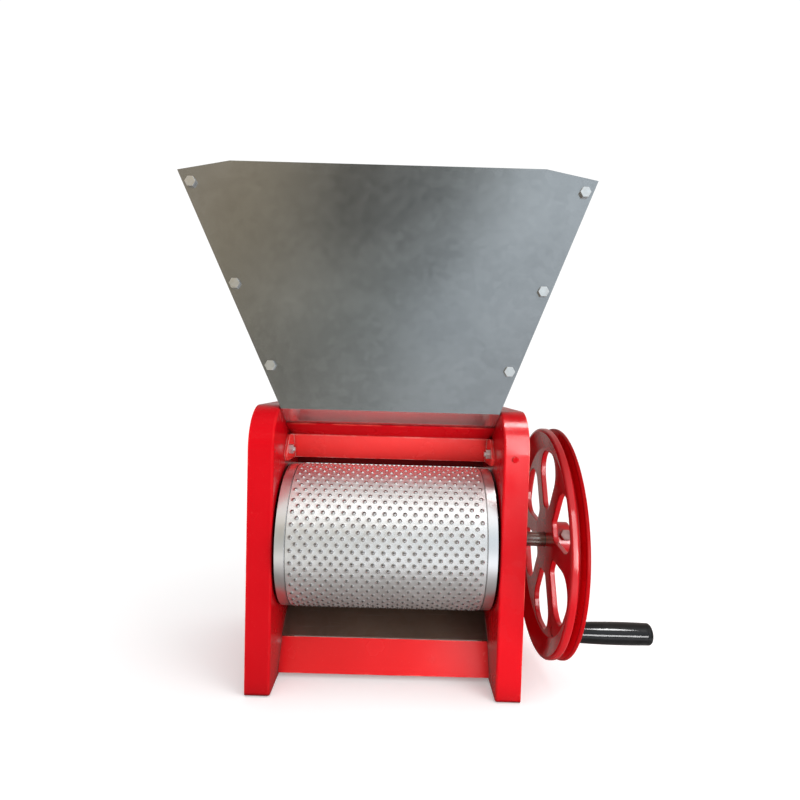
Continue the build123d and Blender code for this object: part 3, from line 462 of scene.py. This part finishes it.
# Other finishes of single pieces: the chute is darker and browner, the throat's rear plate a much darker red,
# the upper bar and the lower plate are lighter copies of the red as painted light, the wheel's screw is dull,
# the crank pin painted with the wheel
variants = {
    # A darker, browner and less metallic zinc
    "chute_sheet": galvanised("dark_brown_sheet", polish=0.6, tint=(0.44, 0.28, 0.20), spangle=0.025),
    # A much darker red
    "throat_rear_plate": paint(
        "dark_red", deep=(0.15, 0.003, 0.004), bright=(0.22, 0.004, 0.006), pale_tone=(0.3, 0.06, 0.05),
        gloss=0.4, peel=0.1, shine=0.15, shade_reach=40 * MM),
    # Painted light: lighter copies of the red for the bar and the plate, which sit in shade
    "upper_front_bar": paint(
        "bar_lit_red", deep=(0.80, 0.036, 0.034), bright=(0.90, 0.046, 0.044), pale_tone=(0.98, 0.50, 0.46),
        gloss=0.2, peel=0.10, shine=0.5, shade_reach=8 * MM, highlight_and_wear=1.6),
    "lower_front_plate": paint(
        "plate_lit_red", deep=(0.62, 0.004, 0.007), bright=(0.70, 0.007, 0.010), pale_tone=(0.90, 0.24, 0.20),
        gloss=0.2, peel=0.10, shine=0.35, shade_reach=12 * MM, highlight_and_wear=1.2),
    "wheel_set_screw": metal(
        "dull_zinc", dark=(0.24, 0.12, 0.11), light=(0.44, 0.27, 0.25), roughness=(0.3, 0.45),
        clouds=120.0, grain=700.0, relief=0.15),
    "crank_pin": finishes["wheel_paint"],
}
# The wheel's outer flange has a darker red of its own as painted shade, and its groove a brighter red as
# painted light
flange_shade_red = paint(
    "flange_shade_red", deep=(0.24, 0.001, 0.002), bright=(0.30, 0.001, 0.003), pale_tone=(0.40, 0.006, 0.007),
    gloss=0.3, peel=0.06, shine=0.04, shade_reach=3 * MM, highlight_and_wear=0.3)
groove_light_red = paint(
    "groove_light_red", deep=(0.44, 0.001, 0.004), bright=(0.52, 0.002, 0.006), pale_tone=(0.6, 0.02, 0.02),
    gloss=0.3, peel=0.06, shine=0.1, shade_reach=2 * MM, highlight_and_wear=0.3)


def finish_of(node):
    return variants.get(node, finishes[slot_of[node]])


# Pieces

def show(name, mesh, node):
    """Links a new mesh that stands for a CAD node, on that node's body and with its finish."""
    piece = bpy.data.objects.new(name, mesh)
    scene.collection.objects.link(piece)
    mesh.materials.clear()
    mesh.materials.append(finish_of(node))
    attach(piece, nodes[node]["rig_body"])
    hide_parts(node)
    return piece


def smooth_mesh(name, shape, crease):
    """Mesh of a finished shape, shaded smooth but for edges sharper than crease."""
    mesh = bpy.data.meshes.new(name)
    shape.to_mesh(mesh)
    shape.free()
    mesh.shade_smooth()
    mesh.set_sharp_from_angle(angle=crease)
    return mesh


def flat_faces(piece):
    """Keeps the shading of large flat faces flat beside their rounded edges."""
    piece.modifiers.new("flat_faces", "WEIGHTED_NORMAL").keep_sharp = True


def softened(node, width):
    """A copy of a CAD node whose sharp edges are rounded, so that they catch the light."""
    shape = bmesh.new()
    shape.from_mesh(nodes[node].data)
    bmesh.ops.remove_doubles(shape, verts=shape.verts, dist=merge_distance)
    bmesh.ops.dissolve_limit(shape, angle_limit=flat_angle, verts=shape.verts, edges=shape.edges)
    sharp = [edge for edge in shape.edges
             if len(edge.link_faces) == 2 and edge.calc_face_angle() > sharp_angle]
    bmesh.ops.bevel(shape, geom=sharp, offset=width, offset_type="OFFSET", segments=2, profile=0.5,
                    affect="EDGES", clamp_overlap=True)
    mesh = smooth_mesh(node + "_finish", shape, copy_crease)
    flat_faces(show(node + "_finish", mesh, node))


def bumped_sheet():
    """The drum's sheet: a grid of staggered cells, each with one round bump, and a plain wall inside."""
    around = cell_steps * bump_rows
    along = cell_steps * bumps_in_row + half_cell
    pitch = drum_length / (along / cell_steps)
    row_pitch = 2 * math.pi * drum_radius / bump_rows
    sides = range(cell_steps)
    # Steps (up, right) round the border of a cell
    border = [(0, step) for step in sides] + [(step, cell_steps) for step in sides]
    border += [(cell_steps, cell_steps - step) for step in sides] + [(cell_steps - step, 0) for step in sides]
    shape = bmesh.new()
    lift = shape.verts.layers.float.new("lift")
    hollow = shape.verts.layers.float.new("hollow")
    grid = {}

    def vertex(distance, arc, rise, radius=drum_radius, sunk=0.0):
        """A vertex on the drum from its distance along, its arc length round, its rise and how sunk it is."""
        angle = arc / drum_radius
        reach = radius + rise - sunk * hollow_depth * MM
        y = drum_axis_y - reach * math.cos(angle)
        z = drum_axis_z + reach * math.sin(angle)
        made = shape.verts.new((drum_low.x + distance, y, z))
        made[lift] = rise / (bump_tip * MM)
        made[hollow] = sunk
        return made

    def sunken(side, lead):
        """1 in the hollow of a bump, 0 outside it, from the distances to the tip in millimetres."""
        away = math.hypot(side, lead - hollow_shift)
        return min(1.0, max(0.0, (hollow_radius + hollow_border - away) / hollow_border))

    def corner(step_round, step_along):
        """Shared vertex of the plain sheet, at a step of the grid."""
        key = (step_round % around, step_along)
        if key not in grid:
            grid[key] = vertex(step_along * pitch / cell_steps, key[0] * row_pitch / cell_steps, 0.0)
        return grid[key]

    def cell(low, left):
        """One bump: rings of vertices from the cell's border up to the tip."""
        outer = [corner(low + up, left + right) for up, right in border]
        middle = (left + half_cell) * pitch / cell_steps
        height = (low + half_cell) * row_pitch / cell_steps
        for radius, rise in bump_rings:
            inner = []
            for up, right in border:
                turn = math.atan2(up - half_cell, right - half_cell)
                side = radius * math.cos(turn)
                lead = radius * math.sin(turn)
                sunk = sunken(side, lead)
                inner.append(vertex(middle + side * MM, height + lead * MM, rise * MM, sunk=sunk))
            for index in range(len(border)):
                after = (index + 1) % len(border)
                shape.faces.new((outer[index], outer[after], inner[after], inner[index]))
            outer = inner
        tip = vertex(middle, height, bump_tip * MM, sunk=sunken(0.0, 0.0))
        for index in range(len(border)):
            shape.faces.new((outer[index], outer[(index + 1) % len(border)], tip))

    def plain(low, left):
        """One flat square of the grid."""
        shape.faces.new((corner(low, left), corner(low, left + 1),
                         corner(low + 1, left + 1), corner(low + 1, left)))

    for row in range(bump_rows):
        low = cell_steps * row
        shift = half_cell * (row % 2)
        for index in range(bumps_in_row):
            cell(low, shift + cell_steps * index)
        bare = 0 if shift else along - half_cell
        for up in range(cell_steps):
            for right in range(half_cell):
                plain(low + up, bare + right)

    inside = []
    for end in (0, 1):
        inside.append([vertex(end * drum_length, step * row_pitch / cell_steps, 0.0, drum_radius - drum_wall)
                       for step in range(around)])
    for step in range(around):
        after = (step + 1) % around
        shape.faces.new((inside[0][after], inside[1][after], inside[1][step], inside[0][step]))
        shape.faces.new((corner(step, 0), corner(after, 0), inside[0][after], inside[0][step]))
        shape.faces.new((corner(after, along), corner(step, along), inside[1][step], inside[1][after]))
    bmesh.ops.recalc_face_normals(shape, faces=shape.faces)
    show("drum_bumped_sheet", smooth_mesh("drum_bumped_sheet", shape, drum_crease), "drum_sheet")


def rounded(corners, steps=arc_steps):
    """Points along an outline of (x, y, radius) corners; a corner of radius 0 stays sharp."""
    points = []
    for index, (x, y, radius) in enumerate(corners):
        here = Vector((x, y))
        if radius == 0:
            points.append(here)
            continue
        back = (Vector(corners[index - 1][:2]) - here).normalized()
        ahead = (Vector(corners[(index + 1) % len(corners)][:2]) - here).normalized()
        half = back.angle(ahead) / 2
        centre = here + (back + ahead).normalized() * radius / math.sin(half)
        start = here + back * radius / math.tan(half) - centre
        end = here + ahead * radius / math.tan(half) - centre
        first = math.atan2(start.y, start.x)
        sweep = math.remainder(math.atan2(end.y, end.x) - first, 2 * math.pi)
        for step in range(steps + 1):
            turn = first + sweep * step / steps
            points.append(centre + radius * Vector((math.cos(turn), math.sin(turn))))
    return points


def petal(outset):
    """Outline of one window of the wheel, grown by outset: (outwards, sideways) from the axis."""
    turn = math.pi / spoke_count
    width = spoke_width - 2 * outset
    ends = []
    for reach in (hub_radius + window_hub_web - outset, rim_foot_radius - window_rim_web + outset):
        along = (reach - width / 2 * math.sin(turn)) / math.cos(turn)
        ends.append((reach, along * math.sin(turn) - width / 2 * math.cos(turn)))
    (near, near_half), (far, far_half) = ends
    near_round = window_hub_round + outset
    far_round = window_rim_round + outset
    return rounded(((near, -near_half, near_round), (far, -far_half, far_round),
                    (far, far_half, far_round), (near, near_half, near_round)), window_steps)


def wheel_casting():
    """The hand wheel as one casting: turned rim and hub, and between them a flat disc with six windows."""
    shape = bmesh.new()
    axis_y = (wheel_low.y + wheel_high.y) / 2
    axis_z = (wheel_low.z + wheel_high.z) / 2

    def spot(x, out, side, angle):
        """Vertex from its distance past the inner face, and out and sideways from the axis at an angle."""
        forward = out * math.cos(angle) - side * math.sin(angle)
        upward = out * math.sin(angle) + side * math.cos(angle)
        return shape.verts.new((wheel_low.x + x * MM, axis_y - forward * MM, axis_z + upward * MM))

    def skin(loops):
        """Faces between closed loops of vertices, each joined to the next."""
        for first, second in zip(loops, loops[1:]):
            for index in range(len(first)):
                shape.faces.new((first[index - 1], first[index], second[index], second[index - 1]))

    def turned(profile):
        """Surface of revolution of (x, radius) points; returns its first and last rings."""
        rings = [[spot(x, radius, 0, 2 * math.pi * step / wheel_steps) for step in range(wheel_steps)]
                 for x, radius in profile]
        skin(rings)
        return rings[0], rings[-1]

    disc_end = disc_inset + disc_thickness
    groove = inner_flange + groove_width / 2
    groove_radius = wheel_radius - groove_depth
    rim_width = inner_flange + groove_width + outer_flange
    rim = turned(rounded((
        (disc_inset, rim_foot_radius - disc_overlap, 0), (disc_inset, rim_foot_radius, rim_foot_round),
        (0, wheel_radius - rim_lip, rim_lip_round), (0, wheel_radius, inner_flange_round),
        (inner_flange, wheel_radius, inner_flange_round),
        (groove - groove_floor / 2, groove_radius, groove_round),
        (groove + groove_floor / 2, groove_radius, groove_round),
        (inner_flange + groove_width, wheel_radius, groove_mouth_round),
        (rim_width, wheel_radius, outer_flange_round), (rim_width, rim_inner_radius, rim_edge_round),
        (disc_end, rim_inner_radius, rim_corner_round), (disc_end, rim_inner_radius - 2 * disc_overlap, 0))))
    hub = turned(rounded((
        (disc_end, hub_radius + 2 * disc_overlap, 0), (disc_end, hub_radius, hub_foot_round),
        (hub_end, hub_radius, hub_edge_round), (hub_end, bore_radius, bore_round),
        (disc_inset, bore_radius, bore_round), (disc_inset, bore_radius + disc_overlap, 0))))
    inner_loops = [rim[0], hub[1]]
    outer_loops = [rim[1], hub[0]]

    # Each window's wall runs from a rounded edge at the inner face to one at the outer face
    turns = [step * math.pi / 2 / arc_steps for step in range(arc_steps + 1)]
    edge = [(window_edge * (1 - math.cos(turn)), window_edge * (1 - math.sin(turn))) for turn in turns]
    wall = [(disc_inset + x, outset) for x, outset in edge]
    wall += [(disc_end - x, outset) for x, outset in reversed(edge)]
    for index in range(spoke_count):
        angle = first_window + 2 * math.pi * index / spoke_count
        loops = [[spot(x, out, side, angle) for out, side in petal(outset)] for x, outset in wall]
        skin(loops)
        inner_loops.append(loops[0])
        outer_loops.append(loops[-1])

    pin_low, pin_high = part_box("crank_pin")
    pin_y = (pin_low.y + pin_high.y) / 2
    pin_z = (pin_low.z + pin_high.z) / 2
    pin_loops = []
    for x in (disc_inset, disc_end):
        loop = []
        for step in range(pin_hole_steps):
            turn = 2 * math.pi * step / pin_hole_steps
            y = pin_y + pin_hole_radius * MM * math.cos(turn)
            z = pin_z + pin_hole_radius * MM * math.sin(turn)
            loop.append(shape.verts.new((wheel_low.x + x * MM, y, z)))
        pin_loops.append(loop)
    skin(pin_loops)
    inner_loops.append(pin_loops[0])
    outer_loops.append(pin_loops[-1])

    for loops in (inner_loops, outer_loops):
        borders = [shape.edges.get((loop[index - 1], loop[index]))
                   for loop in loops for index in range(len(loop))]
        bmesh.ops.triangle_fill(shape, use_beauty=True, edges=borders)
    bmesh.ops.recalc_face_normals(shape, faces=shape.faces)
    mesh = smooth_mesh("hand_wheel_casting", shape, wheel_crease)
    flat_faces(show("hand_wheel_casting", mesh, "hand_wheel"))
    mesh.materials.append(flange_shade_red)
    mesh.materials.append(groove_light_red)
    # Painted shade on the outer flange's faces, painted light on the groove's faces
    for face in mesh.polygons:
        reach = math.hypot(face.center.y - axis_y, face.center.z - axis_z) / MM
        along = (face.center.x - wheel_low.x) / MM
        if along > flange_shade_start and reach > flange_shade_reach:
            face.material_index = 1
        elif groove_light_start < along < groove_light_end and reach > groove_light_reach:
            face.material_index = 2


for node, width in edge_rounds.items():
    softened(node, width * MM)
bumped_sheet()
wheel_casting()
for node, thing in nodes.items():
    thing.data.materials.clear()
    thing.data.materials.append(finish_of(node))


# Studio

def light(name, spot, aim, size, power, soft=True, glossy=True, only=()):
    """Area lamp; soft says whether it lights matt surfaces, glossy whether it shows in shiny ones, and only
    names the pieces that it lights, where it doesn't light them all."""
    lamp = bpy.data.lights.new(name, "AREA")
    lamp.shape = "RECTANGLE"
    lamp.size, lamp.size_y = size
    lamp.energy = power
    thing = bpy.data.objects.new(name, lamp)
    scene.collection.objects.link(thing)
    thing.location = spot
    thing.rotation_euler = (Vector(aim) - Vector(spot)).to_track_quat("-Z", "Y").to_euler()
    thing.visible_diffuse = soft
    thing.visible_glossy = glossy
    thing.visible_camera = False
    if only:
        lit = bpy.data.collections.new(name + "_lit")
        for piece in only:
            lit.objects.link(bpy.data.objects[piece])
        thing.light_linking.receiver_collection = lit


left_plate = ("left_side_plate_finish",)
right_plate = ("right_side_plate_finish",)
wheel = ("hand_wheel_casting",)
grip = ("handle_grip_finish",)
drum = ("drum_bumped_sheet",)
cross_pieces = ("throat_front_plate_finish", "upper_front_bar_finish", "lower_front_plate_finish")
right_post_top = (0.1, -0.1, 0.28)
grip_middle = (0.22, -0.074, 0.064)
# The drum's foot shows the dark chute and no red of the lower plate
bpy.data.objects["lower_front_plate_finish"].visible_glossy = False
light("overhead", spot=(0.3, -0.5, 1.6), aim=(0.0, 0.0, 0.2), size=(1.6, 1.6), power=6.0, glossy=False)
light("side_fill", spot=(0.47, -0.55, 0.25), aim=(0.0, -0.05, 0.2), size=(0.4, 0.4), power=2.2, glossy=False)
# Glare on the right post and streaks along the grip
light("window", spot=(0.47, -1.54, 0.9), aim=right_post_top, size=(0.35, 1.7), power=110.0,
      soft=False, only=right_plate)
light("skylight", spot=(0.42, -0.1, 1.35), aim=right_post_top, size=(0.4, 2.0), power=230.0,
      soft=False, only=right_plate)
light("grip_upper", spot=(0.66, -0.78, 1.28), aim=grip_middle, size=(0.22, 0.3), power=12.0,
      soft=False, only=grip)
light("grip_lower", spot=(0.74, -1.48, 0.03), aim=grip_middle, size=(0.6, 0.30), power=17.0,
      soft=False, only=grip)
# Brighter paint at the right ends of the cross pieces, on the right post and at the left post's top
light("right_glow", spot=(0.09, -0.24, 0.17), aim=(0.07, -0.05, 0.15), size=(0.1, 0.1), power=0.26,
      glossy=False, only=cross_pieces)
light("right_fill", spot=(0.3, -0.75, 0.15), aim=(0.13, -0.1, 0.15), size=(0.3, 0.4), power=2.0,
      glossy=False, only=right_plate)
light("left_glow", spot=(-0.2, -0.32, 0.4), aim=(-0.14, -0.12, 0.27), size=(0.1, 0.1), power=0.25,
      glossy=False, only=left_plate)
# Glints on the drum's bumps and along the wheel's rim
light("drum_sparkle", spot=(0.0, -0.42, 0.60), aim=(0.0, -0.1, 0.24), size=(0.3, 0.2), power=0.3,
      soft=False, only=drum)
light("rim_streak", spot=(0.41, -0.98, 0.42), aim=(0.145, -0.15, 0.18), size=(0.2, 0.9), power=5.0,
      soft=False, only=wheel)
light("rim_light", spot=(0.46, -0.75, 0.13), aim=(0.2, -0.15, 0.16), size=(0.14, 0.24), power=2.8, only=wheel)

floor_shape = bmesh.new()
bmesh.ops.create_grid(floor_shape, x_segments=8, y_segments=8, size=6.0)
floor_mesh = bpy.data.meshes.new("floor")
floor_shape.to_mesh(floor_mesh)
floor_shape.free()
floor = bpy.data.objects.new("floor", floor_mesh)
scene.collection.objects.link(floor)
floor_material, floor_tree, floor_shader = start_material("pale_floor")
floor_tone = drift(floor_tree, noise(floor_tree, place(floor_tree), scale=3.0, detail=2.0), 0.965, 0.985)
set_shader(floor_tree, floor_shader, {"Base Color": floor_tone, "Roughness": 0.9, "Specular IOR Level": 0.1,
                                      "Emission Color": (1.0, 1.0, 1.0, 1.0), "Emission Strength": 0.24})
floor_mesh.materials.append(floor_material)
floor.visible_glossy = False

# The camera sees plain white, and matt surfaces get their light mostly from the right. Shiny surfaces see a
# workshop: its front is banded by height, cool and bright at the right, warm and dim at the left, with a dark
# place in the middle, and the room at the sides and behind is dimmer. Heights go from 0, straight down, to 1,
# straight up, and sides from 0 at the left to 1 at the right
camera_white = (1.05, 1.05, 1.05)
matt_light = (0.36, 1.24)
front_heights = (
    (0.0, (0.20, 0.18, 0.17)), (0.15, (0.25, 0.23, 0.22)), (0.27, (1.14, 1.13, 1.14)), (0.43, 0.57),
    (0.475, 0.44), (0.52, 0.51), (0.56, 0.60), (0.65, 0.68), (0.75, (0.90, 0.90, 0.91)),
    (0.92, (0.96, 0.95, 0.95)), (1.0, (0.6, 0.53, 0.5)))
front_sides = (
    (0.0, 0.31), (0.25, (0.31, 0.29, 0.26)), (0.335, (0.33, 0.27, 0.17)), (0.4, (0.27, 0.245, 0.185)),
    (0.5, (0.31, 0.345, 0.335)), (0.535, (0.32, 0.36, 0.36)), (0.555, (0.60, 0.68, 0.74)),
    (0.575, (0.62, 0.71, 0.77)), (0.63, (0.57, 0.65, 0.71)), (0.68, (0.57, 0.64, 0.70)),
    (0.8, (0.52, 0.54, 0.56)), (1.0, 0.36))
front_strength = (2.6, 2.6, 2.6)
far_side_heights = ((0.2, (0.5, 0.49, 0.49)), (0.35, (0.14, 0.13, 0.13)))
dark_heading = (-0.03, -0.945, 0.32)
dark_tone = (0.03, 0.04, 0.04)
behind_heights = ((0.28, (0.16, 0.11, 0.10)), (0.44, (0.62, 0.54, 0.51)))
beside_heights = ((0.15, (0.55, 0.53, 0.52)), (0.3, (0.26, 0.22, 0.21)), (0.44, (0.62, 0.54, 0.51)))
all_headings = (-1.0, 1.0)

world = bpy.data.worlds.new("studio")
scene.world = world
world.use_nodes = True
sky = world.node_tree
backdrop = sky.nodes["Background"]
heading = add(sky, "TexCoord").outputs["Generated"]
sideways = axis_of(sky, heading, "X")
backwards = axis_of(sky, heading, "Y")
level = axis_of(sky, heading, "Z")
off_middle = figure(sky, "ABSOLUTE", sideways)
by_height = span(sky, level, all_headings)
height = ramp(sky, by_height, front_heights)
# The higher up, the further right the bright side begins
slant = span(sky, level, (0.1, 0.4), (0.08, -0.11))
by_side = span(sky, figure(sky, "ADD", sideways, slant), all_headings)
across = ramp(sky, by_side, front_sides)
# High up and low down the front goes evenly from left to right
middle = figure(sky, "MINIMUM", span(sky, level, (-0.65, 0.1)), span(sky, level, (0.7, 0.4)))
even = span(sky, sideways, (-0.3, 0.3), (0.3, 0.57))
across = blend(sky, span(sky, middle, (0.0, 1.0), (0.25, 1.0)), even, across)
front = blend(sky, 1.0, height, across, "MULTIPLY")
front = blend(sky, 1.0, front, front_strength, "MULTIPLY")
# Far to the sides the front is dim above a paler floor
far_side = ramp(sky, by_height, far_side_heights)
front = blend(sky, span(sky, off_middle, (0.5, 0.8), (0.0, 0.7)), front, far_side)
from_dark = add(sky, "VectorMath", {0: heading, 1: dark_heading}, operation="DISTANCE").outputs["Value"]
front = blend(sky, span(sky, from_dark, (0.21, 0.07), (0.0, 0.9)), front, dark_tone)
# Behind, the floor is dark in the middle and paler at the sides
behind = ramp(sky, by_height, behind_heights)
beside = ramp(sky, by_height, beside_heights)
behind = blend(sky, span(sky, off_middle, (0.25, 0.45)), behind, beside)
room = blend(sky, span(sky, backwards, (-0.2, 0.2)), front, behind)
glossy_ray = add(sky, "LightPath").outputs["Is Glossy Ray"]
matt_ray = add(sky, "LightPath").outputs["Is Diffuse Ray"]
plain = blend(sky, matt_ray, camera_white, span(sky, sideways, (-0.8, 0.8), matt_light))
sky.links.new(blend(sky, glossy_ray, plain, room), backdrop.inputs["Color"])

camera_data = bpy.data.cameras.new("camera")
camera_data.sensor_width = camera_sensor
camera_data.lens = camera_lens
camera_data.shift_y = camera_shift
camera = bpy.data.objects.new("camera", camera_data)
scene.collection.objects.link(camera)
turn = Matrix.Rotation(camera_turn, 4, "Z")
tilt = Matrix.Rotation(math.pi / 2 - camera_dip, 4, "X")
roll = Matrix.Rotation(camera_roll, 4, "Z")
camera.matrix_world = Matrix.Translation(camera_place) @ turn @ tilt @ roll
scene.camera = camera
